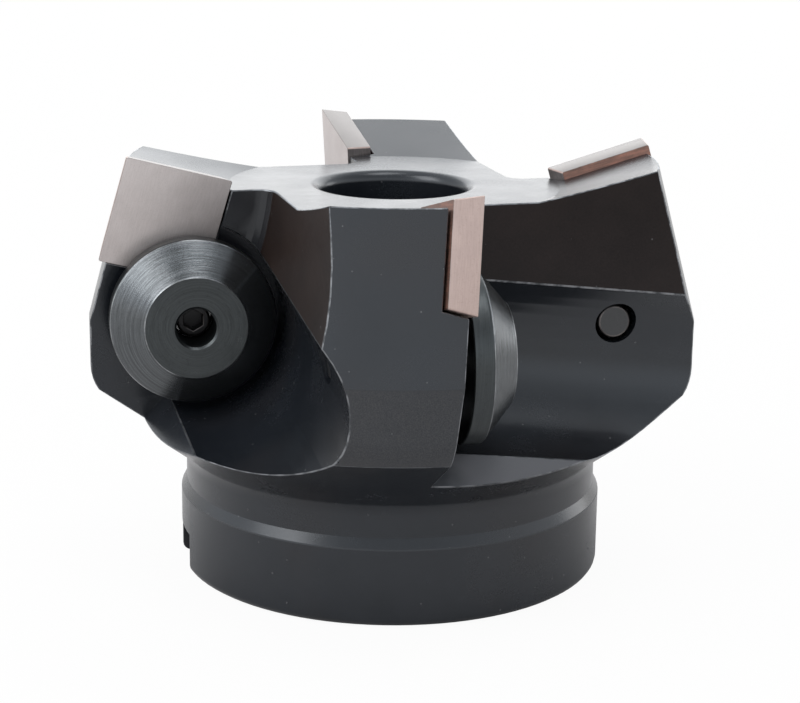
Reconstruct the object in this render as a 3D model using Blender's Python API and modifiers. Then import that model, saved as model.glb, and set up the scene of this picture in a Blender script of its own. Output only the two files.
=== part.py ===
"""Indexable shell face mill with four square inserts, each held by a round clamp.

The cutter stands on the back face of its hub with the cutting end up. The origin is on the spindle axis,
in the plane of the back face. Units are metres and +Z points to the cutting end. Seen from above it cuts
turning anticlockwise, as a right-hand cutter does.
"""

import math

import bmesh
import bpy
from mathutils import Matrix, Vector

# Gap left between pieces that touch on the real cutter
SEAT_GAP = 0.0003

# Cutting geometry, measured at the tip of an insert; the land spreads from there to the head's full radius
TOOTH_COUNT = 4
HEAD_RADIUS = 0.0360
LAND_REACH = 0.00425
TIP_RADIUS = HEAD_RADIUS - LAND_REACH
TIP_HEIGHT = 0.0503
LEAD_ANGLE = math.radians(15)
AXIAL_RAKE = math.radians(7)
RADIAL_RAKE = math.radians(-2)

# Square insert, seated with one corner as the tip
INSERT_SIDE = 0.0127
INSERT_THICKNESS = 0.003175
INSERT_RELIEF = math.radians(11)
INSERT_CORNER_RADIUS = 0.00022

# Turned outside of the body; the shares are of the height of the part that carries them
HUB_RADIUS = 0.0254
HUB_EDGE_RADIUS = 0.0010
HUB_SHARE = 0.648
NECK_RADIUS = 0.02475
NECK_TAPER = 0.0012
NECK_FILLET = 0.0026
HEAD_SHARE = 0.497
HEAD_EDGE_DROP = 0.0030
HEAD_EDGE_INSET = 0.0009
UNDERSIDE_ANGLE = math.radians(37)
FACE_DROP = 0.0044
LAND_SETBACK = 0.0010
END_SETBACK = 0.00115

# Bore, from the back face to the cutting end
PILOT_RADIUS = 0.009525
PILOT_CHAMFER = 0.0006
PILOT_DEPTH = 0.0190
SCREW_HOLE_RADIUS = 0.00515
WEB_THICKNESS = 0.0085
COUNTERBORE_RADIUS = 0.0086
LIP_RADIUS = 0.0013

# Drive slot milled across the back face
SLOT_WIDTH = 0.00794
SLOT_DEPTH = 0.00476
SLOT_ANGLE = math.radians(-6.4)

# Chip gullets: the upper cut and the round scoop that makes room for a clamp
GULLET_WALL_RADIUS = 0.0146
GULLET_WALL_CURVE = 0.0400
GULLET_WALL_CREST = 0.0010
GULLET_DEPTH = 0.0125
GULLET_FLOOR_DROP = 0.0002
GULLET_FLOOR_FILLET = 0.0020
SCOOP_RADIUS = 0.0108
SCOOP_OFFSET = 0.0001
SCOOP_FLOOR_DROP = 0.0006
TOE_START = math.radians(12.5)
TOE_SLOPE = math.radians(47)

# Clamp and its screw; the clamp's axis leans so that its back rim bears on the insert
CLAMP_INWARD = 0.0072
CLAMP_DOWN = 0.01885
CLAMP_PIVOT = 0.0039
CLAMP_SWING = math.radians(6.35)
CLAMP_RADIUS = 0.0097
CLAMP_RIM = 0.0022
CLAMP_FACE_RADIUS = 0.0060
CLAMP_CONE = 0.0034
CLAMP_EDGE = 0.0002
SCREW_RADIUS = 0.0020
SCREW_SINK = 0.0040
SCREW_EDGE = 0.0002
SCREW_BACK_SINK = 0.0004
SOCKET_FLATS = 0.0022
SOCKET_DEPTH = 0.0016
TOOTH_HOLE_RADIUS = 0.0025

# Steps in a full turn
BODY_STEPS = 96
CLAMP_STEPS = 48
SCREW_STEPS = 24
SCOOP_STEPS = 26
HOLE_STEPS = 24
ARC_STEPS = 4
CORNER_STEPS = 3

# How far a cutter reaches past the surface it opens
OVERSHOOT = 0.0030
MERGE = 0.000001


def arc(centre, radius, start, end, steps):
    """Points on an arc from the start angle to the end angle, both included."""
    points = []
    for i in range(steps + 1):
        angle = start + (end - start) * i / steps
        points.append((centre[0] + radius * math.cos(angle), centre[1] + radius * math.sin(angle)))
    return points


def make_material(name, colour, metallic, roughness):
    material = bpy.data.materials.new(name)
    material.use_nodes = True
    shader = material.node_tree.nodes["Principled BSDF"]
    shader.inputs["Base Color"].default_value = (*colour, 1.0)
    shader.inputs["Metallic"].default_value = metallic
    shader.inputs["Roughness"].default_value = roughness
    material.diffuse_color = (*colour, 1.0)
    return material


def make_collection(name):
    collection = bpy.data.collections.new(name)
    bpy.context.scene.collection.children.link(collection)
    return collection


def place(name, mesh, collection, matrix):
    """A named object with its mesh, linked to its collection and set where the matrix puts it."""
    obj = bpy.data.objects.new(name, mesh)
    collection.objects.link(obj)
    obj.matrix_world = matrix
    return obj


def profile_mesh(name, points, closed):
    """The profile of a turned piece, as radius and height pairs, drawn in the XZ plane."""
    mesh = bpy.data.meshes.new(name)
    shape = bmesh.new()
    verts = [shape.verts.new((radius, 0.0, height)) for radius, height in points]
    for first, second in zip(verts, verts[1:]):
        shape.edges.new((first, second))
    if closed:
        shape.edges.new((verts[-1], verts[0]))
    shape.to_mesh(mesh)
    shape.free()
    return mesh


def turn(obj, steps):
    """Turns the profile through a full circle about the object's Z axis."""
    screw = obj.modifiers.new("turned", "SCREW")
    screw.axis = "Z"
    screw.angle = math.tau
    screw.steps = steps
    screw.render_steps = steps
    screw.use_merge_vertices = True
    screw.merge_threshold = MERGE
    screw.use_smooth_shade = True


def cut(obj, cutter):
    boolean = obj.modifiers.new("cut_" + cutter.name, "BOOLEAN")
    boolean.operation = "DIFFERENCE"
    boolean.solver = "EXACT"
    boolean.object = cutter


def settle(obj, material, sharp_angle=math.radians(28)):
    """Keeps the object's evaluated mesh, with smooth curved faces and sharp machined edges."""
    graph = bpy.context.evaluated_depsgraph_get()
    mesh = bpy.data.meshes.new_from_object(obj.evaluated_get(graph))
    obj.modifiers.clear()
    obj.data = mesh
    mesh.name = obj.name
    mesh.materials.clear()
    mesh.materials.append(material)
    mesh.shade_smooth()
    mesh.set_sharp_from_angle(angle=sharp_angle)


def prism_mesh(name, outline, bottom, top, round_edge=None, radius=0.0):
    """An outline in XY raised from the bottom height to the top height.

    Edges of the bottom face that round_edge accepts are rounded with the radius.
    """
    mesh = bpy.data.meshes.new(name)
    shape = bmesh.new()
    face = shape.faces.new([shape.verts.new((x, y, bottom)) for x, y in outline])
    raised = bmesh.ops.extrude_face_region(shape, geom=[face])
    lifted = [item for item in raised["geom"] if isinstance(item, bmesh.types.BMVert)]
    bmesh.ops.translate(shape, verts=lifted, vec=(0.0, 0.0, top - bottom))
    bmesh.ops.recalc_face_normals(shape, faces=shape.faces)
    if round_edge is not None:
        rounded = []
        for edge in shape.edges:
            first, second = edge.verts[0].co, edge.verts[1].co
            on_bottom = abs(first.z - bottom) < MERGE and abs(second.z - bottom) < MERGE
            if on_bottom and round_edge(first, second):
                rounded.append(edge)
        bmesh.ops.bevel(shape, geom=rounded, offset=radius, segments=ARC_STEPS, profile=0.5, affect="EDGES",
                        clamp_overlap=True)
    shape.to_mesh(mesh)
    shape.free()
    return mesh


def cylinder_mesh(name, radius, bottom, top, steps):
    mesh = bpy.data.meshes.new(name)
    shape = bmesh.new()
    bmesh.ops.create_cone(shape, cap_ends=True, segments=steps, radius1=radius, radius2=radius,
                          depth=top - bottom)
    bmesh.ops.translate(shape, verts=shape.verts, vec=(0.0, 0.0, (top + bottom) / 2))
    shape.to_mesh(mesh)
    shape.free()
    return mesh


def block_mesh(name, low, high):
    """A box between two opposite corners."""
    mesh = bpy.data.meshes.new(name)
    shape = bmesh.new()
    bmesh.ops.create_cube(shape, size=1.0)
    low, high = Vector(low), Vector(high)
    bmesh.ops.scale(shape, verts=shape.verts, vec=high - low)
    bmesh.ops.translate(shape, verts=shape.verts, vec=(low + high) / 2)
    shape.to_mesh(mesh)
    shape.free()
    return mesh


def basis(x_axis, y_axis, z_axis, origin):
    """A placement matrix from three unit axes and an origin."""
    matrix = Matrix((x_axis, y_axis, z_axis)).transposed().to_4x4()
    matrix.translation = origin
    return matrix


for old in list(bpy.data.objects):
    bpy.data.objects.remove(old, do_unlink=True)

parts = make_collection("indexable_face_mill")
cutters = make_collection("face_mill_cutters")

body_steel = make_material("black_oxide_steel", (0.030, 0.031, 0.034), 0.65, 0.42)
carbide = make_material("ground_carbide", (0.52, 0.46, 0.43), 0.70, 0.38)
clamp_steel = make_material("turned_clamp_steel", (0.085, 0.088, 0.090), 0.80, 0.40)
screw_steel = make_material("screw_steel", (0.060, 0.061, 0.064), 0.80, 0.38)

# The rake plane of the tooth that stands along +X: X runs inward from the tip, Y up, Z off the rake face
tip = Vector((TIP_RADIUS, 0.0, TIP_HEIGHT))
rake_in = Vector((-1.0, -math.tan(RADIAL_RAKE), 0.0)).normalized()
rake_normal = rake_in.cross(Vector((0.0, math.tan(AXIAL_RAKE), 1.0))).normalized()
rake_plane = basis(rake_in, rake_normal.cross(rake_in), rake_normal, tip)

# The insert is turned in the rake plane by the lead angle: X runs along its end edge, Y up its side edge
insert_seat = rake_plane @ Matrix.Rotation(-LEAD_ANGLE, 4, "Z")

# The clamp's axis crosses the middle of the scoop and leans off the rake normal
clamp_axis = Vector((math.tan(CLAMP_SWING), 1.0, 0.0)).normalized()
clamp_pivot = rake_plane @ Vector((CLAMP_INWARD, -CLAMP_DOWN, CLAMP_PIVOT))
clamp_lean = clamp_axis.angle(rake_normal)
clamp_back_lift = SEAT_GAP + CLAMP_RADIUS * math.sin(clamp_lean)
clamp_back = clamp_pivot - clamp_axis * (CLAMP_PIVOT - clamp_back_lift) / math.cos(clamp_lean)
clamp_side = clamp_axis.cross(Vector((0.0, 0.0, 1.0))).normalized()
clamp_seat = basis(clamp_side, clamp_axis.cross(clamp_side), clamp_axis, clamp_back)
CLAMP_HEIGHT = CLAMP_RIM + CLAMP_CONE


def tooth_turn(number):
    """The turn about the spindle axis from the tooth along +X to the numbered tooth."""
    return Matrix.Rotation(math.pi + math.tau * (number - 1) / TOOTH_COUNT, 4, "Z")


# Body blank. Its end is dished and its land is coned at the lead angle, both set back from the inserts.
face_height = TIP_HEIGHT - FACE_DROP
band_bottom = HEAD_SHARE * TIP_HEIGHT
slope = math.tan(LEAD_ANGLE)
rise = (END_SETBACK * slope - LAND_SETBACK) / (1.0 + slope * slope)
land_top = (TIP_RADIUS + rise, TIP_HEIGHT - END_SETBACK + rise * slope)
dish_radius = TIP_RADIUS - (TIP_HEIGHT - END_SETBACK - face_height) / slope
band_top = TIP_HEIGHT - (HEAD_RADIUS - TIP_RADIUS + LAND_SETBACK) / slope
head_edge = (HEAD_RADIUS - HEAD_EDGE_INSET, band_bottom - HEAD_EDGE_DROP)
flare = math.tan(UNDERSIDE_ANGLE)
neck_top = head_edge[1] - (head_edge[0] - NECK_RADIUS) * flare
fillet_reach = NECK_FILLET * math.tan((math.pi / 2 - UNDERSIDE_ANGLE) / 2)
fillet_centre = (NECK_RADIUS + NECK_FILLET, neck_top - fillet_reach)
hub_height = HUB_SHARE * neck_top
web_top = PILOT_DEPTH + WEB_THICKNESS

# The band rolls over into the underside on an arc that runs out of the band and ends on the underside
roll = (HEAD_EDGE_DROP ** 2 + HEAD_EDGE_INSET ** 2) / (2 * HEAD_EDGE_INSET)
shoulder = arc((HEAD_RADIUS - roll, band_bottom), roll, 0.0, -math.asin(HEAD_EDGE_DROP / roll), ARC_STEPS)
neck_fillet = arc(fillet_centre, NECK_FILLET, math.pi / 2 + UNDERSIDE_ANGLE, math.pi, ARC_STEPS)
hub_edge = arc((HUB_RADIUS - HUB_EDGE_RADIUS, HUB_EDGE_RADIUS), HUB_EDGE_RADIUS, 0.0, -math.pi / 2, ARC_STEPS)
lip = arc((COUNTERBORE_RADIUS + LIP_RADIUS, face_height - LIP_RADIUS), LIP_RADIUS, math.pi, math.pi / 2,
          ARC_STEPS)
blank = [(dish_radius, face_height), land_top, (HEAD_RADIUS, band_top)]
blank += shoulder + neck_fillet
blank += [(NECK_RADIUS, hub_height + NECK_TAPER), (HUB_RADIUS, hub_height)]
blank += hub_edge
blank += [(PILOT_RADIUS + PILOT_CHAMFER, 0.0), (PILOT_RADIUS, PILOT_CHAMFER), (PILOT_RADIUS, PILOT_DEPTH)]
blank += [(SCREW_HOLE_RADIUS, PILOT_DEPTH), (SCREW_HOLE_RADIUS, web_top), (COUNTERBORE_RADIUS, web_top)]
blank += lip

body = place("cutter_body", profile_mesh("cutter_body", blank, closed=True), parts, Matrix.Identity(4))
turn(body, BODY_STEPS)

# Upper gullet: the wall behind the next tooth is an arc, and the floor is the rake face
reach = 2 * HEAD_RADIUS
wall_in = TIP_RADIUS - GULLET_WALL_RADIUS
above = TIP_HEIGHT - face_height + OVERSHOOT
wall_end = math.asin((GULLET_DEPTH - GULLET_WALL_CREST) / GULLET_WALL_CURVE)
wall_arc = arc((wall_in - GULLET_WALL_CURVE, -GULLET_WALL_CREST), GULLET_WALL_CURVE, 0.0, -wall_end, ARC_STEPS)
upper_outline = [(wall_in - reach, above), (wall_in, above)] + wall_arc + [(wall_in - reach, -GULLET_DEPTH)]


def is_wall_foot(first, second):
    """True for the edges where the gullet's wall meets its floor."""
    return min(first.x, second.x) > wall_arc[-1][0] - MERGE


upper_mesh = prism_mesh("upper_gullet", upper_outline, -GULLET_FLOOR_DROP, reach, is_wall_foot,
                        GULLET_FLOOR_FILLET)

# Scoop: a round cut about the clamp, set a little inward and down from it, open to the outside, with a toe
# that slopes away below the rake face
scoop_centre = (CLAMP_INWARD + SCOOP_OFFSET, -CLAMP_DOWN - SCOOP_OFFSET)
scoop_arc = arc(scoop_centre, SCOOP_RADIUS, math.pi / 2, -math.pi / 2 - TOE_START, SCOOP_STEPS)
toe_length = HEAD_RADIUS - NECK_RADIUS + 2 * OVERSHOOT
toe_end = (scoop_arc[-1][0] - toe_length * math.cos(TOE_SLOPE),
           scoop_arc[-1][1] - toe_length * math.sin(TOE_SLOPE))
scoop_outline = scoop_arc + [toe_end, (wall_in - reach, toe_end[1]), (wall_in - reach, scoop_arc[0][1])]
scoop_mesh = prism_mesh("clamp_scoop", scoop_outline, -SCOOP_FLOOR_DROP, reach)

# Insert pocket: its two walls lean with the insert's relief, and it is open at the end face and the land
pocket_depth = INSERT_THICKNESS + SEAT_GAP
pocket_side = INSERT_SIDE + SEAT_GAP / math.cos(INSERT_RELIEF)
pocket_top = pocket_side + OVERSHOOT * math.tan(INSERT_RELIEF)
pocket_foot = pocket_side - pocket_depth * math.tan(INSERT_RELIEF)
pocket_mesh = block_mesh("insert_pocket", (-OVERSHOOT, -pocket_top, -pocket_depth),
                         (pocket_top, OVERSHOOT, OVERSHOOT))
for vert in pocket_mesh.vertices:
    if vert.co.z < 0.0:
        vert.co.x = min(vert.co.x, pocket_foot)
        vert.co.y = max(vert.co.y, -pocket_foot)

# Clearance hole of the clamp screw, right through the tooth to the scoop behind it
clamp_distance = TIP_RADIUS - CLAMP_INWARD
tooth_back = clamp_distance - SCOOP_RADIUS - clamp_distance * math.tan(RADIAL_RAKE)
screw_reach = (clamp_back.y + tooth_back) / clamp_axis.y
hole_mesh = cylinder_mesh("clamp_screw_hole", TOOTH_HOLE_RADIUS, -screw_reach - 2 * OVERSHOOT, 0.0, HOLE_STEPS)

for number in range(1, TOOTH_COUNT + 1):
    spin = tooth_turn(number)
    for mesh, seat in ((upper_mesh, rake_plane), (scoop_mesh, rake_plane), (pocket_mesh, insert_seat),
                       (hole_mesh, clamp_seat)):
        cutter = place(mesh.name + "_" + str(number), mesh, cutters, spin @ seat)
        cut(body, cutter)

slot_half = SLOT_WIDTH / 2
slot_reach = HUB_RADIUS + OVERSHOOT
slot_mesh = block_mesh("drive_slot", (-slot_reach, -slot_half, -OVERSHOOT), (slot_reach, slot_half, SLOT_DEPTH))
slot_cutter = place("drive_slot", slot_mesh, cutters, Matrix.Rotation(SLOT_ANGLE, 4, "Z"))
cut(body, slot_cutter)
settle(body, body_steel)

# Insert: a square frustum, smaller at the back by its relief angle, with rounded corners
insert_mesh = bpy.data.meshes.new("insert")
insert_shape = bmesh.new()
half_front = INSERT_SIDE / 2
half_back = half_front - INSERT_THICKNESS * math.tan(INSERT_RELIEF)
bmesh.ops.create_cone(insert_shape, cap_ends=True, segments=4, radius1=half_back * math.sqrt(2),
                      radius2=half_front * math.sqrt(2), depth=INSERT_THICKNESS)
bmesh.ops.rotate(insert_shape, verts=insert_shape.verts, matrix=Matrix.Rotation(math.pi / 4, 3, "Z"))
bmesh.ops.translate(insert_shape, verts=insert_shape.verts, vec=(half_front, -half_front, -INSERT_THICKNESS / 2))
corners = [edge for edge in insert_shape.edges if abs(edge.verts[0].co.z - edge.verts[1].co.z) > MERGE]
bmesh.ops.bevel(insert_shape, geom=corners, offset=INSERT_CORNER_RADIUS, segments=CORNER_STEPS, profile=0.5,
                affect="EDGES")
insert_shape.to_mesh(insert_mesh)
insert_shape.free()

# Clamp: a turned ring with a cylindrical rim, a cone and a flat face, bored for its screw
clamp_profile = [
    (CLAMP_FACE_RADIUS - CLAMP_EDGE, CLAMP_HEIGHT),
    (CLAMP_FACE_RADIUS, CLAMP_HEIGHT - CLAMP_EDGE),
    (CLAMP_RADIUS - CLAMP_EDGE, CLAMP_RIM + CLAMP_EDGE),
    (CLAMP_RADIUS, CLAMP_RIM - CLAMP_EDGE),
    (CLAMP_RADIUS, CLAMP_EDGE),
    (CLAMP_RADIUS - CLAMP_EDGE, 0.0),
    (SCREW_RADIUS + SEAT_GAP, 0.0),
    (SCREW_RADIUS + SEAT_GAP, CLAMP_HEIGHT - CLAMP_EDGE),
    (SCREW_RADIUS + SEAT_GAP + CLAMP_EDGE, CLAMP_HEIGHT),
]
clamp_mesh = profile_mesh("clamp", clamp_profile, closed=True)

# Headless screw with a hexagon socket, from just under the clamp's face to the back of the tooth
screw_top = CLAMP_HEIGHT - SCREW_SINK
screw_bottom = SCREW_BACK_SINK - screw_reach
screw_profile = [
    (0.0, screw_top),
    (SCREW_RADIUS - SCREW_EDGE, screw_top),
    (SCREW_RADIUS, screw_top - SCREW_EDGE),
    (SCREW_RADIUS, screw_bottom + SCREW_EDGE),
    (SCREW_RADIUS - SCREW_EDGE, screw_bottom),
    (0.0, screw_bottom),
]
screw_mesh = profile_mesh("clamp_screw", screw_profile, closed=False)
socket_mesh = cylinder_mesh("hexagon_socket", SOCKET_FLATS / math.sqrt(3), screw_top - SOCKET_DEPTH,
                            screw_top + OVERSHOOT, 6)

for number in range(1, TOOTH_COUNT + 1):
    spin = tooth_turn(number)

    insert = place("insert_" + str(number), insert_mesh, parts, spin @ insert_seat)
    settle(insert, carbide)

    clamp = place("clamp_" + str(number), clamp_mesh, parts, spin @ clamp_seat)
    turn(clamp, CLAMP_STEPS)
    settle(clamp, clamp_steel)

    screw = place("clamp_screw_" + str(number), screw_mesh, parts, spin @ clamp_seat)
    turn(screw, SCREW_STEPS)
    socket = place("hexagon_socket_" + str(number), socket_mesh, cutters, spin @ clamp_seat)
    cut(screw, socket)
    settle(screw, screw_steel)

for cutter in cutters.objects:
    cutter.hide_render = True
    cutter.display_type = "WIRE"
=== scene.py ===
import math

import bmesh
import bpy
from mathutils import Matrix, Vector


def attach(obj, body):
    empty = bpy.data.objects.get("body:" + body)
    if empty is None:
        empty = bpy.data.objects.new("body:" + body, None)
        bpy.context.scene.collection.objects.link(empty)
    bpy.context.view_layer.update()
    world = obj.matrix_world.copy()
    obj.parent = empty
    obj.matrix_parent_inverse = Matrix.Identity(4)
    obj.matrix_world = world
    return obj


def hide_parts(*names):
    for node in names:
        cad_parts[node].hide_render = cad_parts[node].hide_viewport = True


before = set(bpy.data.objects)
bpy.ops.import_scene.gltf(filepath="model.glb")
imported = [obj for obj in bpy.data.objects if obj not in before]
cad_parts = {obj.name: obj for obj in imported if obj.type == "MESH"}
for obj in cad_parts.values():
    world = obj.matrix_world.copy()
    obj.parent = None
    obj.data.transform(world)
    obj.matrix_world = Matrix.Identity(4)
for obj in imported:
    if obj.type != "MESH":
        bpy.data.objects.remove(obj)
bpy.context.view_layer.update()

# The cutter body is one piece of alloy steel, turned, then milled with a pilot bore, a drive slot and four
# chip gullets. It is hardened, blackened in a hot oxide bath and oiled, and its outer edges are broken by
# hand, which leaves a thin line of lighter steel along them.
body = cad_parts["cutter_body"]
BODY_EDGE_BREAK = 0.00035
MILLED_SHARE = 0.4
BLUNT_SHARE = 0.3
BLUNT_FOLD = math.radians(35)
KEEN_FOLD = math.radians(55)
PLAIN_FOLD = math.radians(26)
HEAD_FOLD = math.radians(13)
HEAD_INSIDE = 0.013
HEAD_FOOT = 0.019
HUB_SHOULDER = 0.0098
SHOULDER_REACH = 0.0012
SHOULDER_INSIDE = 0.0242
BORE_MOUTH_RADIUS = 0.0135
BORE_MOUTH_FOOT = 0.032
TIP = (0.03175, 0.0, 0.0503)
RADIAL_RAKE = math.radians(-2)
AXIAL_RAKE = math.radians(7)
SCREW_CENTRE = (0.0072, -0.01885, 0.0039)
SCREW_SWING = math.radians(6.35)
SCREW_HOLE_REACH = 0.0030

rake_in = Vector((-1.0, -math.tan(RADIAL_RAKE), 0.0)).normalized()
rake_out = rake_in.cross(Vector((0.0, math.tan(AXIAL_RAKE), 1.0))).normalized()
rake_plane = Matrix((rake_in, rake_out.cross(rake_in), rake_out)).transposed().to_4x4()
rake_plane.translation = TIP
screw_axis = Vector((math.tan(SCREW_SWING), 1.0, 0.0)).normalized()
screw_middle = rake_plane @ Vector(SCREW_CENTRE)

GULLET_WALL_INSIDE = 0.0142
GULLET_WALL_OUTSIDE = 0.0168
GULLET_RIDGE = 0.0375
GULLET_FALL = 0.1228
SQUARE_ON = 0.9


def add(tree, kind, sockets=None, **settings):
    """A shader or geometry node, its settings, and its sockets linked or filled in."""
    made = tree.nodes.new(kind)
    for name, value in settings.items():
        setattr(made, name, value)
    for name, value in (sockets or {}).items():
        if isinstance(value, bpy.types.NodeSocket):
            tree.links.new(value, made.inputs[name])
        else:
            made.inputs[name].default_value = value
    return made


def node_group(name):
    """A geometry group with one geometry going in and one coming out."""
    tree = bpy.data.node_groups.new(name, "GeometryNodeTree")
    tree.interface.new_socket("Geometry", in_out="INPUT", socket_type="NodeSocketGeometry")
    tree.interface.new_socket("Geometry", in_out="OUTPUT", socket_type="NodeSocketGeometry")
    return tree, add(tree, "NodeGroupInput").outputs[0]


def above(tree, value, limit):
    """True where the value is greater than the limit."""
    return add(tree, "FunctionNodeCompare", {"A": value, "B": limit}, data_type="FLOAT",
               operation="GREATER_THAN").outputs[0]


def both_of(tree, first, second):
    """True where both conditions are."""
    return add(tree, "FunctionNodeBooleanMath", {0: first, 1: second}, operation="AND").outputs[0]


def on_gullet_wall(tree):
    """True on the gullets' upper walls: a browner, duller milled skin, and painted shade for their dark reflection."""
    place = add(tree, "ShaderNodeSeparateXYZ", {"Vector": add(tree, "GeometryNodeInputPosition").outputs[0]})
    facing = add(tree, "ShaderNodeSeparateXYZ", {"Vector": add(tree, "GeometryNodeInputNormal").outputs[0]})
    sides = add(tree, "ShaderNodeMath", {0: place.outputs["X"], 1: place.outputs["Y"]}, operation="MULTIPLY")
    even = above(tree, sides.outputs[0], 0.0)
    size = {}
    for name, socket in (("x", place.outputs["X"]), ("y", place.outputs["Y"]), ("facing_x", facing.outputs["X"]),
                         ("facing_y", facing.outputs["Y"])):
        size[name] = add(tree, "ShaderNodeMath", {0: socket}, operation="ABSOLUTE").outputs[0]
    out = add(tree, "ShaderNodeMix", {0: even, 2: size["y"], 3: size["x"]}, data_type="FLOAT").outputs[0]
    along = add(tree, "ShaderNodeMix", {0: even, 2: size["x"], 3: size["y"]}, data_type="FLOAT").outputs[0]
    square_on = add(tree, "ShaderNodeMix", {0: even, 2: size["facing_y"], 3: size["facing_x"]}, data_type="FLOAT")
    ridge = add(tree, "ShaderNodeMath", {0: along, 1: GULLET_FALL, 2: place.outputs["Z"]},
                operation="MULTIPLY_ADD").outputs[0]
    between = both_of(tree, above(tree, out, GULLET_WALL_INSIDE), above(tree, GULLET_WALL_OUTSIDE, out))
    upright = both_of(tree, above(tree, square_on.outputs[0], SQUARE_ON), above(tree, ridge, GULLET_RIDGE))
    return both_of(tree, between, upright)


def within(tree, value, middle, reach):
    """True where the value lies no further from the middle than the reach."""
    return add(tree, "FunctionNodeCompare", {"A": value, "B": middle, "Epsilon": reach}, data_type="FLOAT",
               operation="EQUAL").outputs[0]


def clear_of_screw_holes(tree):
    """1 away from the four screw holes and 0 at their mouths, which keep their sharp edges."""
    place = add(tree, "GeometryNodeInputPosition").outputs[0]
    result = 1.0
    for quarter in range(4):
        turn = Matrix.Rotation(math.tau * quarter / 4, 3, "Z")
        offset = add(tree, "ShaderNodeVectorMath", {0: place, 1: turn @ screw_middle}, operation="SUBTRACT")
        across = add(tree, "ShaderNodeVectorMath", {0: offset.outputs[0], 1: turn @ screw_axis},
                     operation="CROSS_PRODUCT")
        reach = add(tree, "ShaderNodeVectorMath", {0: across.outputs[0]}, operation="LENGTH")
        result = add(tree, "ShaderNodeMath", {0: above(tree, reach.outputs["Value"], SCREW_HOLE_REACH), 1: result},
                     operation="MULTIPLY").outputs[0]
    return result


def finish_edges(piece, edge_break, milled=False):
    """Welds the facets, shades them smooth and breaks the outer edges, which take the second material.

    A milled piece is broken less on its blunter folds, and not at all at its bore's mouth or screw holes.
    """
    tree, shell = node_group(piece.name + "_skin")
    welded = add(tree, "GeometryNodeMergeByDistance", {"Geometry": shell, "Distance": 0.000004})
    plain = add(tree, "GeometryNodeRemoveAttribute",
                {"Geometry": welded.outputs[0], "Name": "custom_normal"})
    smooth = add(tree, "GeometryNodeSetShadeSmooth", {"Geometry": plain.outputs[0], "Shade Smooth": True})
    tree.links.new(smooth.outputs[0], add(tree, "NodeGroupOutput").inputs[0])
    piece.modifiers.new("skin", "NODES").node_group = tree

    flat = piece.modifiers.new("flat_faces", "DECIMATE")
    flat.decimate_type = "DISSOLVE"
    flat.angle_limit = math.radians(0.3)
    piece.modifiers.new("split_faces", "TRIANGULATE").min_vertices = 5

    tree, shell = node_group(piece.name + "_edges")
    angle = add(tree, "GeometryNodeInputMeshEdgeAngle")
    limit = PLAIN_FOLD
    share = 1.0
    if milled:
        place = add(tree, "ShaderNodeSeparateXYZ", {"Vector": add(tree, "GeometryNodeInputPosition").outputs[0]})
        flat_place = add(tree, "ShaderNodeCombineXYZ", {"X": place.outputs["X"], "Y": place.outputs["Y"]})
        reach = add(tree, "ShaderNodeVectorMath", {0: flat_place.outputs[0]}, operation="LENGTH")
        head = both_of(tree, above(tree, reach.outputs["Value"], HEAD_INSIDE),
                       above(tree, place.outputs["Z"], HEAD_FOOT))
        limit = add(tree, "ShaderNodeMath", {0: head, 1: HEAD_FOLD - PLAIN_FOLD, 2: PLAIN_FOLD},
                    operation="MULTIPLY_ADD").outputs[0]
        rounded = both_of(tree, above(tree, reach.outputs["Value"], SHOULDER_INSIDE),
                          within(tree, place.outputs["Z"], HUB_SHOULDER, SHOULDER_REACH))
        outside = above(tree, reach.outputs["Value"], BORE_MOUTH_RADIUS)
        low = above(tree, BORE_MOUTH_FOOT, place.outputs["Z"])
        kept = add(tree, "FunctionNodeBooleanMath", {0: outside, 1: low}, operation="OR")
        share = add(tree, "ShaderNodeMath", {0: kept.outputs[0], 1: MILLED_SHARE}, operation="MULTIPLY").outputs[0]
        share = add(tree, "ShaderNodeMix", {0: rounded, 2: share, 3: 1.0}, data_type="FLOAT").outputs[0]
        share = add(tree, "ShaderNodeMath", {0: share, 1: clear_of_screw_holes(tree)}, operation="MULTIPLY").outputs[0]
        shell = add(tree, "GeometryNodeSetMaterialIndex",
                    {"Geometry": shell, "Selection": on_gullet_wall(tree), "Material Index": 2}).outputs[0]
        keen = add(tree, "ShaderNodeMapRange", {"Value": angle.outputs["Signed Angle"], "From Min": BLUNT_FOLD,
                                                "From Max": KEEN_FOLD, "To Min": BLUNT_SHARE, "To Max": 1.0})
        share = add(tree, "ShaderNodeMath", {0: share, 1: keen.outputs[0]}, operation="MULTIPLY").outputs[0]
    outer = above(tree, angle.outputs["Signed Angle"], limit)
    amount = add(tree, "ShaderNodeMath", {0: outer, 1: share}, operation="MULTIPLY")
    weight = add(tree, "GeometryNodeStoreNamedAttribute",
                 {"Geometry": shell, "Name": "bevel_weight_edge", "Value": amount.outputs[0]},
                 data_type="FLOAT", domain="EDGE")
    hard = add(tree, "GeometryNodeStoreNamedAttribute",
               {"Geometry": weight.outputs[0], "Name": "sharp_edge",
                "Value": above(tree, angle.outputs["Unsigned Angle"], limit)},
               data_type="BOOLEAN", domain="EDGE")
    tree.links.new(hard.outputs[0], add(tree, "NodeGroupOutput").inputs[0])
    piece.modifiers.new("edges", "NODES").node_group = tree

    broken = piece.modifiers.new("edge_break", "BEVEL")
    broken.limit_method = "WEIGHT"
    broken.width = edge_break
    broken.segments = 2
    broken.use_clamp_overlap = False
    broken.loop_slide = False
    broken.material = 1
    broken.harden_normals = False
    even = piece.modifiers.new("even_normals", "WEIGHTED_NORMAL")
    even.keep_sharp = True
    even.weight = 60


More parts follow.
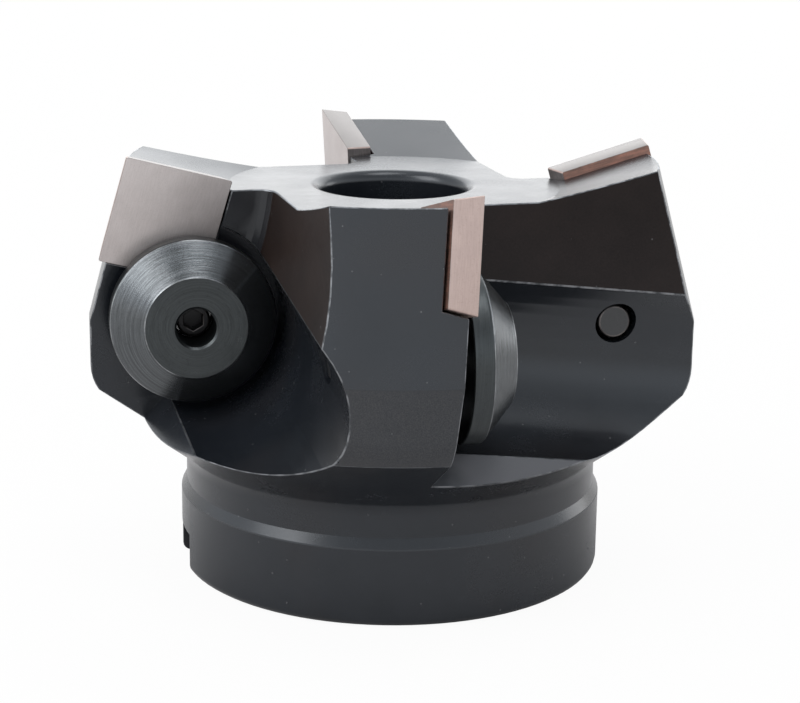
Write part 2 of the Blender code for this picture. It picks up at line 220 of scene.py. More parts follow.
def steel(name):
    """A new material with its Principled shader and coordinates in millimetres."""
    material = bpy.data.materials.new(name)
    material.use_nodes = True
    tree = material.node_tree
    shader = tree.nodes["Principled BSDF"]
    place = add(tree, "ShaderNodeTexCoord")
    millimetres = add(tree, "ShaderNodeMapping", {"Vector": place.outputs["Object"], "Scale": (1000, 1000, 1000)})
    return material, tree, shader, millimetres.outputs[0]


def product(tree, *values):
    """The product of several sockets."""
    result = values[0]
    for value in values[1:]:
        result = add(tree, "ShaderNodeMath", {0: result, 1: value}, operation="MULTIPLY").outputs[0]
    return result


def ramp(tree, value, start, end):
    """0 before start and 1 after end, with a soft step between them."""
    return add(tree, "ShaderNodeMapRange", {"Value": value, "From Min": start, "From Max": end},
               interpolation_type="SMOOTHSTEP").outputs[0]


# Marks on the toothed head, in millimetres: the dull band round the lands, and painted light on the front scoop's toe
BAND_RADIUS = (33.0, 34.2)
BAND_TOP = (30.9, 30.5)
BAND_FOOT = (19.5, 20.5)
BAND_TURNED = (0.78, 0.86)
PAINTED_TOE_LIGHT_MIDDLE = (6.5, -28.3, 18.5)
PAINTED_TOE_LIGHT_FACING = (0.058, -0.734, 0.677)
PAINTED_TOE_LIGHT_REACH = (16.0, 11.0)
PAINTED_TOE_LIGHT_DEPTH = (0.35, 0.2)
GRIT_COLOUR = (0.030, 0.029, 0.030, 1)
PAINTED_TOE_LIGHT_COLOUR = (0.070, 0.070, 0.076, 1)
DUST_COLOUR = (0.12, 0.12, 0.12, 1)


def blackened(name, dark, light, tint, roughness, dull_band_and_painted_toe_light=False):
    """Oiled black oxide: a faintly cloudy blue-black skin with fine turning rings where the lathe cut."""
    material, tree, shader, mm = steel(name)
    cloud = add(tree, "ShaderNodeTexNoise", {"Vector": mm, "Scale": 0.11, "Detail": 4.0, "Roughness": 0.6})
    grain = add(tree, "ShaderNodeTexNoise", {"Vector": mm, "Scale": 4.0, "Detail": 3.0, "Roughness": 0.7})
    axes = add(tree, "ShaderNodeSeparateXYZ", {"Vector": mm})
    flat = add(tree, "ShaderNodeCombineXYZ", {"X": axes.outputs["X"], "Y": axes.outputs["Y"]})
    radius = add(tree, "ShaderNodeVectorMath", {0: flat.outputs[0]}, operation="LENGTH")
    ring = add(tree, "ShaderNodeCombineXYZ", {"X": radius.outputs["Value"], "Y": axes.outputs["Z"]})
    rings = add(tree, "ShaderNodeTexNoise", {"Vector": ring.outputs[0], "Scale": 3.2, "Detail": 4.0,
                                             "Roughness": 0.75})
    outward = add(tree, "ShaderNodeVectorMath", {0: flat.outputs[0]}, operation="NORMALIZE")
    facing = add(tree, "ShaderNodeNewGeometry")
    turned = add(tree, "ShaderNodeVectorMath", {0: outward.outputs[0], 1: facing.outputs["Normal"]},
                 operation="DOT_PRODUCT")
    ringed = add(tree, "ShaderNodeMapRange", {"Value": turned.outputs["Value"], "From Min": 0.86, "From Max": 0.97})

    shade = add(tree, "ShaderNodeMath", {0: grain.outputs["Fac"], 1: 0.8, 2: cloud.outputs["Fac"]},
                operation="MULTIPLY_ADD")
    spread = add(tree, "ShaderNodeMapRange", {"Value": shade.outputs[0], "From Min": 0.6, "From Max": 1.2})
    tone = add(tree, "ShaderNodeMix", {0: spread.outputs[0], 6: (*dark, 1), 7: (*light, 1)}, data_type="RGBA")
    patches = add(tree, "ShaderNodeTexNoise", {"Vector": mm, "Scale": 0.045, "Detail": 2.0})
    patch = add(tree, "ShaderNodeMapRange", {"Value": patches.outputs["Fac"], "From Min": 0.5, "From Max": 0.72,
                                             "To Max": 0.7})
    warm = add(tree, "ShaderNodeMix", {0: patch.outputs[0], 6: tone.outputs[2], 7: (*tint, 1)}, data_type="RGBA")
    dust = add(tree, "ShaderNodeTexVoronoi", {"Vector": mm, "Scale": 0.55, "Randomness": 1.0})
    specks = add(tree, "ShaderNodeMapRange", {"Value": dust.outputs["Distance"], "From Min": 0.035,
                                              "From Max": 0.065, "To Min": 0.6, "To Max": 0.0})
    dusty = add(tree, "ShaderNodeMix", {0: specks.outputs[0], 6: warm.outputs[2], 7: DUST_COLOUR}, data_type="RGBA")
    colour = dusty.outputs[2]
    blunt = 0.0
    if dull_band_and_painted_toe_light:
        band = product(tree, ramp(tree, radius.outputs["Value"], *BAND_RADIUS),
                       ramp(tree, axes.outputs["Z"], *BAND_TOP), ramp(tree, axes.outputs["Z"], *BAND_FOOT),
                       ramp(tree, turned.outputs["Value"], *BAND_TURNED))
        grit = add(tree, "ShaderNodeTexNoise", {"Vector": mm, "Scale": 8.0, "Detail": 3.0, "Roughness": 0.7})
        gritty = product(tree, band, ramp(tree, grit.outputs["Fac"], 0.35, 0.70))
        colour = add(tree, "ShaderNodeMix", {0: gritty, 6: colour, 7: GRIT_COLOUR}, data_type="RGBA").outputs[2]
        # Painted light: the front scoop's toe is painted a lighter grey for the bright table it mirrors
        far = add(tree, "ShaderNodeVectorMath", {0: mm, 1: PAINTED_TOE_LIGHT_MIDDLE}, operation="DISTANCE")
        ragged = add(tree, "ShaderNodeMath", {0: cloud.outputs["Fac"], 1: 9.0, 2: far.outputs["Value"]},
                     operation="MULTIPLY_ADD")
        level = add(tree, "ShaderNodeVectorMath", {0: mm, 1: PAINTED_TOE_LIGHT_FACING}, operation="DOT_PRODUCT")
        toe_level = Vector(PAINTED_TOE_LIGHT_MIDDLE).dot(Vector(PAINTED_TOE_LIGHT_FACING))
        rise = add(tree, "ShaderNodeMath", {0: level.outputs["Value"], 1: toe_level}, operation="SUBTRACT")
        proud = add(tree, "ShaderNodeMath", {0: rise.outputs[0]}, operation="ABSOLUTE")
        toe_painted_light = product(tree, ramp(tree, ragged.outputs[0], *PAINTED_TOE_LIGHT_REACH), ramp(tree, proud.outputs[0], *PAINTED_TOE_LIGHT_DEPTH))
        colour = add(tree, "ShaderNodeMix", {0: toe_painted_light, 6: colour, 7: PAINTED_TOE_LIGHT_COLOUR}, data_type="RGBA").outputs[2]
        blunt = add(tree, "ShaderNodeMath", {0: band, 1: 0.14}, operation="MULTIPLY").outputs[0]
        blunt = add(tree, "ShaderNodeMath", {0: toe_painted_light, 1: 0.25, 2: blunt}, operation="MULTIPLY_ADD").outputs[0]
    tree.links.new(colour, shader.inputs["Base Color"])

    gloss = add(tree, "ShaderNodeMapRange", {"Value": cloud.outputs["Fac"], "From Min": 0.3, "From Max": 0.7,
                                             "To Min": roughness - 0.05, "To Max": roughness + 0.03})
    dull = add(tree, "ShaderNodeMath", {0: grain.outputs["Fac"], 1: 0.08, 2: gloss.outputs[0]},
               operation="MULTIPLY_ADD")
    matt = add(tree, "ShaderNodeMath", {0: dull.outputs[0], 1: blunt})
    tree.links.new(matt.outputs[0], shader.inputs["Roughness"])

    ridges = add(tree, "ShaderNodeMath", {0: rings.outputs["Fac"], 1: ringed.outputs[0]}, operation="MULTIPLY")
    relief = add(tree, "ShaderNodeBump", {"Height": grain.outputs["Fac"], "Strength": 0.10, "Distance": 0.00003})
    lines = add(tree, "ShaderNodeBump", {"Height": ridges.outputs[0], "Strength": 0.15, "Distance": 0.00003,
                                         "Normal": relief.outputs[0]})
    tree.links.new(lines.outputs[0], shader.inputs["Normal"])
    return material


def worn(name, colour, patchy):
    """Bare rubbed metal, darker and duller in patches."""
    material, tree, shader, mm = steel(name)
    shader.inputs["Metallic"].default_value = 1.0
    wear = add(tree, "ShaderNodeTexNoise", {"Vector": mm, "Scale": 0.5, "Detail": 5.0, "Roughness": 0.7})
    bare = add(tree, "ShaderNodeMapRange", {"Value": wear.outputs["Fac"], "From Min": 0.38, "From Max": 0.62})
    tone = add(tree, "ShaderNodeMix", {0: bare.outputs[0], 6: (*patchy, 1), 7: (*colour, 1)}, data_type="RGBA")
    tree.links.new(tone.outputs[2], shader.inputs["Base Color"])
    dull = add(tree, "ShaderNodeMapRange", {"Value": wear.outputs["Fac"], "To Min": 0.42, "To Max": 0.28})
    tree.links.new(dull.outputs[0], shader.inputs["Roughness"])
    return material


# Where the head's edges are rubbed bright, in millimetres: above its foot, and clear of the ridge round the lands
LAND_RIDGE = 30.7
RIDGE_CLEAR = (0.5, 0.9)
LAND_INSIDE = (35.3, 34.9)
WORN_FOOT = (17.0, 18.5)


def rubbed_through(name, skin, metal):
    """The skin on the broken edges, rubbed down to steel in places, but only on the toothed head."""
    material, tree, shader, mm = steel(name)
    axes = add(tree, "ShaderNodeSeparateXYZ", {"Vector": mm})
    flat = add(tree, "ShaderNodeCombineXYZ", {"X": axes.outputs["X"], "Y": axes.outputs["Y"]})
    radius = add(tree, "ShaderNodeVectorMath", {0: flat.outputs[0]}, operation="LENGTH")
    wear = add(tree, "ShaderNodeTexNoise", {"Vector": mm, "Scale": 0.6, "Detail": 5.0, "Roughness": 0.7})
    off_ridge = add(tree, "ShaderNodeMath", {0: axes.outputs["Z"], 1: LAND_RIDGE}, operation="SUBTRACT")
    gap = add(tree, "ShaderNodeMath", {0: off_ridge.outputs[0]}, operation="ABSOLUTE")
    clear = add(tree, "ShaderNodeMath",
                {0: ramp(tree, gap.outputs[0], *RIDGE_CLEAR), 1: ramp(tree, radius.outputs["Value"], *LAND_INSIDE)},
                operation="MAXIMUM")
    bare = product(tree, ramp(tree, wear.outputs["Fac"], 0.36, 0.60), ramp(tree, axes.outputs["Z"], *WORN_FOOT),
                   clear.outputs[0])
    tone = add(tree, "ShaderNodeMix", {0: bare, 6: (*skin, 1), 7: (*metal, 1)}, data_type="RGBA")
    tree.links.new(tone.outputs[2], shader.inputs["Base Color"])
    tree.links.new(bare, shader.inputs["Metallic"])
    dull = add(tree, "ShaderNodeMapRange", {"Value": wear.outputs["Fac"], "To Min": 0.42, "To Max": 0.28})
    tree.links.new(dull.outputs[0], shader.inputs["Roughness"])
    return material


body_skin = blackened("black_oxide", (0.0055, 0.0068, 0.0090), (0.0115, 0.0132, 0.0165), (0.012, 0.010, 0.010),
                      0.22, dull_band_and_painted_toe_light=True)
# Gullet walls: browner milled skin, also painted darker as shade for the dark reflection they show
wall_skin_and_painted_shade = blackened("milled_gullet_wall_and_painted_shade", (0.0082, 0.0060, 0.0055), (0.0170, 0.0122, 0.0112),
                      (0.020, 0.0125, 0.010), 0.40)
edge_skin = rubbed_through("rubbed_body_edge", (0.012, 0.0135, 0.0160), (0.19, 0.195, 0.205))
for skin, index, tint in ((body_skin, 1.5, (0.93, 0.96, 1.0)), (wall_skin_and_painted_shade, 1.22, (0.95, 0.97, 1.0)),
                          (edge_skin, 1.5, (0.93, 0.96, 1.0))):
    shader = skin.node_tree.nodes["Principled BSDF"]
    shader.inputs["IOR"].default_value = index
    shader.inputs["Specular Tint"].default_value = (*tint, 1)
finish_edges(body, BODY_EDGE_BREAK, milled=True)
body.data.materials.clear()
body.data.materials.append(body_skin)
body.data.materials.append(edge_skin)
body.data.materials.append(wall_skin_and_painted_shade)

# Each insert is a square of sintered carbide, ground flat on its face and on its four relief flanks. It drops
# into its pocket in the tooth and stands proud of the land and of the end face.
LEAD = math.radians(15)
INSERT_SIDE = 0.0127
INSERT_THICKNESS = 0.003175
INSERT_RELIEF = math.radians(11)
INSERT_CORNER = 0.00022
INSERT_HONE = 0.00004

insert_seat = rake_plane @ Matrix.Rotation(-LEAD, 4, "Z")


def insert_mesh():
    """A square that narrows towards its back, with small rounded corners and honed edges."""
    shape = bmesh.new()
    half = INSERT_SIDE / 2
    half_back = half - INSERT_THICKNESS * math.tan(INSERT_RELIEF)
    bmesh.ops.create_cone(shape, cap_ends=True, segments=4, radius1=half_back * math.sqrt(2),
                          radius2=half * math.sqrt(2), depth=INSERT_THICKNESS)
    bmesh.ops.rotate(shape, verts=shape.verts, matrix=Matrix.Rotation(math.pi / 4, 3, "Z"))
    bmesh.ops.translate(shape, verts=shape.verts, vec=(half, -half, -INSERT_THICKNESS / 2))
    corners = [edge for edge in shape.edges if abs(edge.verts[0].co.z - edge.verts[1].co.z) > 0.001]
    bmesh.ops.bevel(shape, geom=corners, offset=INSERT_CORNER, segments=5, profile=0.5, affect="EDGES")
    rims = [edge for edge in shape.edges if edge.calc_face_angle(0.0) > math.radians(40)]
    honed_faces = bmesh.ops.bevel(shape, geom=rims, offset=INSERT_HONE, segments=2, profile=0.5, affect="EDGES",
                                  material=3)["faces"]
    for face in shape.faces:
        face.smooth = True
        if face not in honed_faces:
            face.material_index = 0 if face.normal.z > 0.9 else 2 if face.normal.z < -0.9 else 1
            # The flank facing +X, the inner end, takes a darker copy of the flank material: painted shade
            if face.normal.x > 0.9:
                face.material_index = 4
            # The flank facing +Y, on top, takes a darker copy too: painted shade against the lamp's glancing
            # reflection
            elif face.normal.y > 0.9:
                face.material_index = 5
    mesh = bpy.data.meshes.new("insert")
    shape.to_mesh(mesh)
    shape.free()
    mesh.set_sharp_from_angle(angle=math.radians(30))
    return mesh


def ground_carbide(name, pale, deep, speck_colour, streak, roughness):
    """Ground carbide: satin and warm grey, with fine grinding lines and a few darker specks."""
    material, tree, shader, mm = steel(name)
    shader.inputs["Metallic"].default_value = 0.7
    cloud = add(tree, "ShaderNodeTexNoise", {"Vector": mm, "Scale": 0.25, "Detail": 4.0, "Roughness": 0.6})
    grain = add(tree, "ShaderNodeTexNoise", {"Vector": mm, "Scale": 5.0, "Detail": 3.0, "Roughness": 0.65})
    stretched = add(tree, "ShaderNodeMapping", {"Vector": mm, "Scale": streak})
    lines = add(tree, "ShaderNodeTexNoise", {"Vector": stretched.outputs[0], "Scale": 1.0, "Detail": 4.0})
    shade = add(tree, "ShaderNodeMath", {0: lines.outputs["Fac"], 1: cloud.outputs["Fac"]})
    spread = add(tree, "ShaderNodeMapRange", {"Value": shade.outputs[0], "From Min": 0.75, "From Max": 1.25})
    tone = add(tree, "ShaderNodeMix", {0: spread.outputs[0], 6: (*deep, 1), 7: (*pale, 1)}, data_type="RGBA")
    speck = add(tree, "ShaderNodeMapRange", {"Value": grain.outputs["Fac"], "From Min": 0.56, "From Max": 0.75,
                                             "To Max": 0.5})
    dotted = add(tree, "ShaderNodeMix", {0: speck.outputs[0], 6: tone.outputs[2], 7: (*speck_colour, 1)},
                 data_type="RGBA")
    tree.links.new(dotted.outputs[2], shader.inputs["Base Color"])
    dull = add(tree, "ShaderNodeMapRange", {"Value": lines.outputs["Fac"], "To Min": roughness - 0.06,
                                            "To Max": roughness + 0.08})
    tree.links.new(dull.outputs[0], shader.inputs["Roughness"])
    relief = add(tree, "ShaderNodeBump", {"Height": lines.outputs["Fac"], "Strength": 0.2, "Distance": 0.00002})
    tree.links.new(relief.outputs[0], shader.inputs["Normal"])
    return material


insert_shape = insert_mesh()
insert_shape.materials.append(ground_carbide("lapped_carbide_face", (0.525, 0.480, 0.468), (0.455, 0.412, 0.400),
                                             (0.32, 0.28, 0.27), (7.0, 0.6, 0.6), 0.42))
insert_shape.materials.append(ground_carbide("ground_carbide_flank", (0.450, 0.345, 0.310), (0.380, 0.290, 0.262),
                                             (0.27, 0.20, 0.175), (0.5, 0.5, 8.0), 0.38))
insert_shape.materials.append(ground_carbide("carbide_seat_face", (0.32, 0.155, 0.115), (0.13, 0.080, 0.065),
                                             (0.06, 0.035, 0.03), (0.5, 6.0, 0.5), 0.42))
insert_shape.materials.append(worn("honed_insert_edge", (0.27, 0.24, 0.225), (0.15, 0.13, 0.12)))
# A darker copy of the flank material for the inner flank: painted shade
insert_shape.materials.append(ground_carbide("carbide_inner_flank_painted_shade", (0.30, 0.27, 0.26), (0.20, 0.175, 0.17),
                                             (0.12, 0.11, 0.10), (0.5, 0.5, 8.0), 0.34))
# A darker copy for the top end flank: painted shade against the back lamp's glancing reflection
insert_shape.materials.append(ground_carbide("carbide_end_flank_painted_shade", (0.328, 0.304, 0.291), (0.297, 0.275, 0.264),
                                             (0.24, 0.22, 0.21), (0.5, 0.5, 8.0), 0.42))
for number in range(1, 5):
    insert = bpy.data.objects.new("carbide_insert_" + str(number), insert_shape)
    bpy.context.scene.collection.objects.link(insert)
    insert.matrix_world = Matrix.Rotation(math.pi + math.tau * (number - 1) / 4, 4, "Z") @ insert_seat
    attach(insert, "root")
    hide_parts("insert_" + str(number))

# Each clamp is a ring turned from steel bar, with a short rim, a cone and a flat face. Its axis leans a little,
# so its back rim bears towards the insert. Plain rings in its bore stand for the thread.
CLAMP_RADIUS = 0.0097
CLAMP_RIM = 0.0022
CLAMP_CONE = 0.0034
CLAMP_FACE = 0.0060
CLAMP_BORE = 0.0023
CLAMP_BORE_CHAMFER = 0.00025
CLAMP_SOFTENING = 0.00012
CLAMP_STEPS = 144
CLAMP_GAP = 0.0003
THREAD_PITCH = 0.0005
THREAD_DEPTH = 0.00015

clamp_lean = screw_axis.angle(rake_out)
clamp_lift = CLAMP_GAP + CLAMP_RADIUS * math.sin(clamp_lean)
clamp_back = screw_middle - screw_axis * (SCREW_CENTRE[2] - clamp_lift) / math.cos(clamp_lean)
clamp_side = screw_axis.cross(Vector((0.0, 0.0, 1.0))).normalized()
clamp_seat = Matrix((clamp_side, screw_axis.cross(clamp_side), screw_axis)).transposed().to_4x4()
clamp_seat.translation = clamp_back


def lathe(name, profile, steps, closed):
    """Turns a profile of radius and height pairs through a full circle about Z."""
    shape = bmesh.new()
    verts = [shape.verts.new((radius, 0.0, height)) for radius, height in profile]
    edges = [shape.edges.new(pair) for pair in zip(verts, verts[1:])]
    if closed:
        edges.append(shape.edges.new((verts[-1], verts[0])))
    bmesh.ops.spin(shape, geom=verts + edges, cent=(0, 0, 0), axis=(0, 0, 1), angle=math.tau, steps=steps,
                   use_merge=True, use_duplicate=False)
    bmesh.ops.remove_doubles(shape, verts=shape.verts, dist=0.000001)
    bmesh.ops.recalc_face_normals(shape, faces=shape.faces)
    mesh = bpy.data.meshes.new(name)
    shape.to_mesh(mesh)
    shape.free()
    mesh.shade_smooth()
    mesh.set_sharp_from_angle(angle=math.radians(32))
    return mesh


def turned_steel(name, colour, ring_scale, metallic, roughness, spread=0.28, depth=0.35):
    """Steel straight off the lathe: rings round the piece's own axis, over a thin dark skin."""
    material, tree, shader, mm = steel(name)
    shader.inputs["Metallic"].default_value = metallic
    shader.inputs["Anisotropic"].default_value = 0.4
    axes = add(tree, "ShaderNodeSeparateXYZ", {"Vector": mm})
    flat = add(tree, "ShaderNodeCombineXYZ", {"X": axes.outputs["X"], "Y": axes.outputs["Y"]})
    radius = add(tree, "ShaderNodeVectorMath", {0: flat.outputs[0]}, operation="LENGTH")
    spot = add(tree, "ShaderNodeVectorMath", {0: flat.outputs[0], "Scale": 0.05}, operation="SCALE")
    near = add(tree, "ShaderNodeSeparateXYZ", {"Vector": spot.outputs[0]})
    reach = add(tree, "ShaderNodeMath", {0: radius.outputs["Value"], 1: near.outputs["X"]})
    height = add(tree, "ShaderNodeMath", {0: axes.outputs["Z"], 1: near.outputs["Y"]})
    ring = add(tree, "ShaderNodeCombineXYZ", {"X": reach.outputs[0], "Y": height.outputs[0]})
    rings = add(tree, "ShaderNodeTexNoise", {"Vector": ring.outputs[0], "Scale": ring_scale, "Detail": 5.0,
                                             "Roughness": 0.8})
    cloud = add(tree, "ShaderNodeTexNoise", {"Vector": mm, "Scale": 0.5, "Detail": 4.0})
    shade = add(tree, "ShaderNodeMapRange", {"Value": rings.outputs["Fac"], "From Min": 0.3, "From Max": 0.7})
    tone = add(tree, "ShaderNodeMix", {0: shade.outputs[0], 6: (*[c * (1 - spread) for c in colour], 1),
                                       7: (*[c * (1 + spread) for c in colour], 1)}, data_type="RGBA")
    spots = add(tree, "ShaderNodeTexNoise", {"Vector": mm, "Scale": 2.6, "Detail": 4.0, "Roughness": 0.7})
    stain = add(tree, "ShaderNodeMapRange", {"Value": spots.outputs["Fac"], "From Min": 0.56, "From Max": 0.72,
                                             "To Max": 0.45})
    stained = add(tree, "ShaderNodeMix", {0: stain.outputs[0], 6: tone.outputs[2],
                                          7: (*[c * 0.5 for c in colour], 1)}, data_type="RGBA")
    tree.links.new(stained.outputs[2], shader.inputs["Base Color"])
    dull = add(tree, "ShaderNodeMapRange", {"Value": cloud.outputs["Fac"], "To Min": roughness - 0.08,
                                            "To Max": roughness + 0.10})
    tree.links.new(dull.outputs[0], shader.inputs["Roughness"])
    relief = add(tree, "ShaderNodeBump", {"Height": rings.outputs["Fac"], "Strength": depth, "Distance": 0.00004})
    tree.links.new(relief.outputs[0], shader.inputs["Normal"])
    round_about = add(tree, "ShaderNodeTangent", direction_type="RADIAL", axis="Z")
    tree.links.new(round_about.outputs[0], shader.inputs["Tangent"])
    return material


clamp_height = CLAMP_RIM + CLAMP_CONE
soft = CLAMP_SOFTENING
clamp_profile = [
    (CLAMP_BORE + CLAMP_BORE_CHAMFER, clamp_height), (CLAMP_FACE - 3 * soft, clamp_height),
    (CLAMP_FACE - soft, clamp_height), (CLAMP_FACE, clamp_height - soft),
    (CLAMP_FACE + 2 * soft, clamp_height - 3 * soft),
    (CLAMP_RADIUS - 3 * soft, CLAMP_RIM + 3 * soft), (CLAMP_RADIUS - soft, CLAMP_RIM + soft),
    (CLAMP_RADIUS - soft / 4, CLAMP_RIM), (CLAMP_RADIUS, CLAMP_RIM - soft), (CLAMP_RADIUS, CLAMP_RIM - 3 * soft),
    (CLAMP_RADIUS, soft), (CLAMP_RADIUS - soft, 0.0), (CLAMP_BORE + CLAMP_BORE_CHAMFER, 0.0),
    (CLAMP_BORE, CLAMP_BORE_CHAMFER),
]
for turn in range(1, int(clamp_height / THREAD_PITCH)):
    clamp_profile.append((CLAMP_BORE, turn * THREAD_PITCH))
    clamp_profile.append((CLAMP_BORE + THREAD_DEPTH, (turn + 0.5) * THREAD_PITCH))
clamp_profile.append((CLAMP_BORE, clamp_height - CLAMP_BORE_CHAMFER))
clamp_mesh = lathe("clamp", clamp_profile, CLAMP_STEPS, True)
# Face and cone are one turned steel in two tones: the face darker as painted shade, the cone lighter as painted light
clamp_mesh.materials.append(turned_steel("turned_clamp_face_painted_shade", (0.050, 0.055, 0.057), 5.5, 0.9, 0.30))
clamp_mesh.materials.append(turned_steel("turned_clamp_cone_painted_light", (0.088, 0.094, 0.099), 4.2, 0.9, 0.22, 0.55, 0.7))
# The softened rims take bare rubbed steel, partly a painted highlight along the face's edge
clamp_mesh.materials.append(worn("rubbed_clamp_edge_and_highlight", (0.26, 0.27, 0.28), (0.09, 0.095, 0.10)))
cone_slope = math.cos(math.atan2(CLAMP_CONE, CLAMP_RADIUS - CLAMP_FACE))
for face in clamp_mesh.polygons:
    reach = math.hypot(face.center.x, face.center.y)
    on_cone = CLAMP_FACE < reach < CLAMP_RADIUS and face.center.z > CLAMP_RIM
    if on_cone:
        face.material_index = 1 if abs(face.normal.z - cone_slope) < 0.06 else 2
    elif CLAMP_FACE - soft < reach < CLAMP_FACE and face.normal.z > 0.2 and face.center.z < clamp_height:
        face.material_index = 2

for number in range(1, 5):
    clamp = bpy.data.objects.new("clamp_ring_" + str(number), clamp_mesh)
    bpy.context.scene.collection.objects.link(clamp)
    clamp.matrix_world = Matrix.Rotation(math.pi + math.tau * (number - 1) / 4, 4, "Z") @ clamp_seat
    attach(clamp, "root")
    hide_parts("clamp_" + str(number))

# Each clamp screw is a headless steel screw with a hexagon socket. It runs through the clamp and the tooth,
# where its chamfered end shows at the tooth's back.
SCREW_EDGE_BREAK = 0.00010
SOCKET_END_START = 0.001

screw_finish = turned_steel("screw_steel", (0.060, 0.061, 0.063), 9.0, 0.9, 0.30)
# The broken rims take rubbed steel, partly a painted highlight for the bright ring round the socket
screw_rim_and_highlight = worn("rubbed_screw_edge_and_highlight", (0.17, 0.155, 0.15), (0.07, 0.065, 0.065))
# The socket end, deep in the clamp's bore, takes a darker copy of the screw steel: painted shade
socket_end_painted_shade = turned_steel("screw_socket_end_painted_shade", (0.022, 0.022, 0.023), 9.0, 0.9, 0.34)
for number in range(1, 5):
    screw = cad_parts["clamp_screw_" + str(number)]
    turn = Matrix.Rotation(math.pi + math.tau * (number - 1) / 4, 3, "Z")
    tree, shell = node_group(screw.name + "_socket_end")
    place = add(tree, "GeometryNodeInputPosition")
    along = add(tree, "ShaderNodeVectorMath", {0: place.outputs[0], 1: turn @ screw_axis}, operation="DOT_PRODUCT")
    past_clamp = above(tree, along.outputs["Value"], clamp_back.dot(screw_axis) - SOCKET_END_START)
    socket_end = add(tree, "GeometryNodeSetMaterialIndex",
                     {"Geometry": shell, "Selection": past_clamp, "Material Index": 2})
    tree.links.new(socket_end.outputs[0], add(tree, "NodeGroupOutput").inputs[0])
    screw.modifiers.new("socket_end", "NODES").node_group = tree
    finish_edges(screw, SCREW_EDGE_BREAK)
    screw.data.materials.clear()
    screw.data.materials.append(screw_finish)
    screw.data.materials.append(screw_rim_and_highlight)
    screw.data.materials.append(socket_end_painted_shade)

# The table is a plain white sheet that reaches past the view, with a faint shadow under the cutter.
TABLE_SIDE = 6.0
TABLE_DROP = 0.0002
TABLE_COLOUR = (0.60, 0.58, 0.57, 1)

bpy.ops.mesh.primitive_plane_add(size=TABLE_SIDE, location=(0.0, 0.0, -TABLE_DROP))
table = bpy.context.object
table.name = "table"
paper = bpy.data.materials.new("white_table")
paper.use_nodes = True
tree = paper.node_tree
sheet = tree.nodes["Principled BSDF"]
sheet.inputs["Base Color"].default_value = TABLE_COLOUR
sheet.inputs["Roughness"].default_value = 0.9
seen = add(tree, "ShaderNodeLightPath")
glow = add(tree, "ShaderNodeEmission", {"Color": (1, 1, 1, 1), "Strength": 1.0})
sheet_place = add(tree, "ShaderNodeTexCoord")
# Glossy rays see the sheet's glow only away from the cutter; near it the glow fades: a painted shadow in what the
# cutter mirrors
away = add(tree, "ShaderNodeVectorMath", {0: sheet_place.outputs["Object"]}, operation="LENGTH")
glow_past_painted_shadow = add(tree, "ShaderNodeMapRange", {"Value": away.outputs["Value"], "From Min": 0.05, "From Max": 0.22,
                                              "To Min": 0.0, "To Max": 0.85}, interpolation_type="SMOOTHSTEP")
mirrored = add(tree, "ShaderNodeMath", {0: seen.outputs["Is Glossy Ray"], 1: glow_past_painted_shadow.outputs[0]},
               operation="MULTIPLY")
share = add(tree, "ShaderNodeMath", {0: seen.outputs["Is Camera Ray"], 1: 0.95, 2: mirrored.outputs[0]},
            operation="MULTIPLY_ADD")
both = add(tree, "ShaderNodeMixShader", {0: share.outputs[0], 1: sheet.outputs[0], 2: glow.outputs[0]})
tree.links.new(both.outputs[0], tree.nodes["Material Output"].inputs["Surface"])
table.data.materials.append(paper)

# The light is a white room, a little brighter in front above the table, with a broad lamp high behind the
# cutter, one above it, one to its left and a small one low on its right.
world = bpy.data.worlds.new("white_room")
bpy.context.scene.world = world
world.use_nodes = True
tree = world.node_tree
tree.nodes.clear()
seen = add(tree, "ShaderNodeLightPath")
around = add(tree, "ShaderNodeTexCoord")
ray = add(tree, "ShaderNodeSeparateXYZ", {"Vector": around.outputs["Generated"]})
raised = add(tree, "ShaderNodeMapRange", {"Value": ray.outputs["Z"], "From Min": 0.05, "From Max": 0.28,
                                          "To Min": 0.95, "To Max": 1.45}, interpolation_type="SMOOTHSTEP")
ceiling = add(tree, "ShaderNodeMapRange", {"Value": ray.outputs["Z"], "From Min": 0.35, "From Max": 0.75,
                                           "To Min": 1.0, "To Max": 0.55}, interpolation_type="SMOOTHSTEP")
front = add(tree, "ShaderNodeMath", {0: raised.outputs[0], 1: ceiling.outputs[0]}, operation="MULTIPLY")
behind = add(tree, "ShaderNodeMapRange", {"Value": ray.outputs["Y"], "From Min": -0.1, "From Max": 0.3},
             interpolation_type="SMOOTHSTEP")
strength = add(tree, "ShaderNodeMix", {0: behind.outputs[0], 2: front.outputs[0], 3: 1.1}, data_type="FLOAT")
upward = add(tree, "ShaderNodeMapRange", {"Value": ray.outputs["Z"], "From Min": 0.0, "From Max": 0.3},
             interpolation_type="SMOOTHSTEP")
paint = add(tree, "ShaderNodeMix", {0: upward.outputs[0], 6: (1.0, 0.985, 0.97, 1), 7: (0.91, 0.955, 1.0, 1)},
            data_type="RGBA")
left = add(tree, "ShaderNodeMapRange", {"Value": ray.outputs["X"], "From Min": -0.55, "From Max": -0.9,
                                        "To Min": 1.0, "To Max": 1.4}, interpolation_type="SMOOTHSTEP")
level = add(tree, "ShaderNodeMath", {0: strength.outputs[0], 1: left.outputs[0]}, operation="MULTIPLY")
walls = add(tree, "ShaderNodeBackground", {"Color": paint.outputs[2], "Strength": level.outputs[0]})
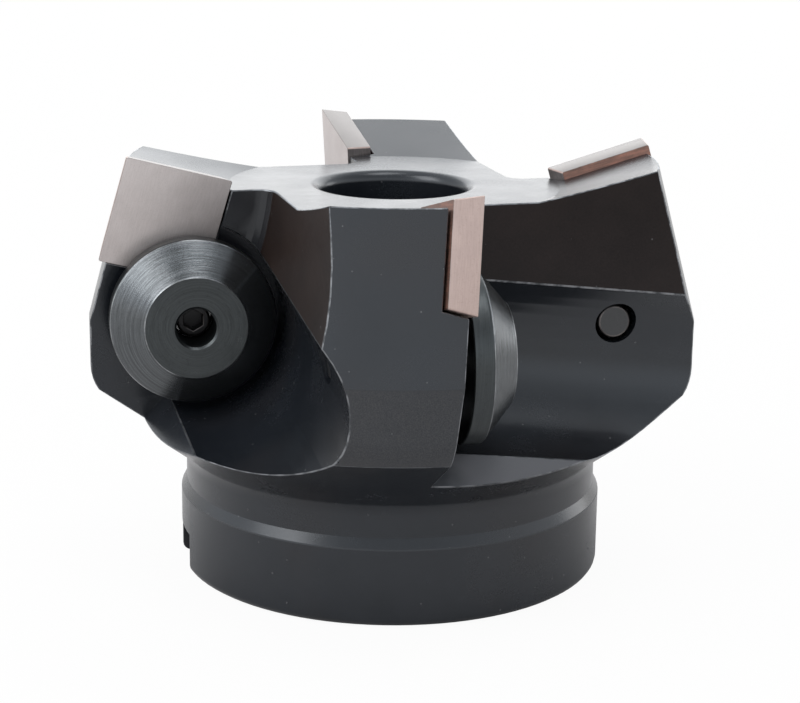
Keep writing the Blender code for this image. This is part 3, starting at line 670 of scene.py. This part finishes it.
white = add(tree, "ShaderNodeBackground", {"Color": (1, 1, 1, 1), "Strength": 1.0})
room = add(tree, "ShaderNodeMixShader", {0: seen.outputs["Is Camera Ray"], 1: walls.outputs[0], 2: white.outputs[0]})
tree.links.new(room.outputs[0], add(tree, "ShaderNodeOutputWorld").inputs["Surface"])


LAMP_AIM = (0.0, 0.0, 0.03)


def lamp(name, spot, size, watts):
    """A soft rectangular lamp that faces the cutter."""
    light = bpy.data.lights.new(name, "AREA")
    light.shape = "RECTANGLE"
    light.size, light.size_y = size
    light.energy = watts
    made = bpy.data.objects.new(name, light)
    bpy.context.scene.collection.objects.link(made)
    made.location = spot
    made.rotation_euler = (Vector(LAMP_AIM) - Vector(spot)).to_track_quat("-Z", "Y").to_euler()
    made.visible_camera = False


lamp("back_lamp", (0.40, 0.90, 0.42), (1.3, 0.8), 4.0)
lamp("left_lamp", (-0.70, -0.10, 0.68), (0.5, 0.6), 4.2)
lamp("top_lamp", (0.10, -0.10, 1.02), (0.40, 0.45), 2.3)
lamp("side_lamp", (0.96, 0.22, 0.20), (0.35, 0.35), 0.85)

# The camera stands close in front, a little above the cutter, and looks down at it.
CAMERA_PLACE = (-0.07393, -0.23463, 0.0904)
CAMERA_HEADING = math.radians(-17.73)
CAMERA_TILT = math.radians(75.2)
CAMERA_ROLL = math.radians(0.75)
SENSOR_WIDTH = 36.0
FOCAL_SHARE = 2107.0 / 800.0

camera = bpy.data.objects.new("camera", bpy.data.cameras.new("camera"))
bpy.context.scene.collection.objects.link(camera)
camera.data.sensor_width = SENSOR_WIDTH
camera.data.lens = SENSOR_WIDTH * FOCAL_SHARE
camera.data.clip_start = 0.01
heading = Matrix.Rotation(CAMERA_HEADING, 4, "Z")
tilt = Matrix.Rotation(CAMERA_TILT, 4, "X")
roll = Matrix.Rotation(CAMERA_ROLL, 4, "Z")
camera.matrix_world = Matrix.Translation(CAMERA_PLACE) @ heading @ tilt @ roll
bpy.context.scene.camera = camera

bpy.context.scene.view_settings.view_transform = "Standard"
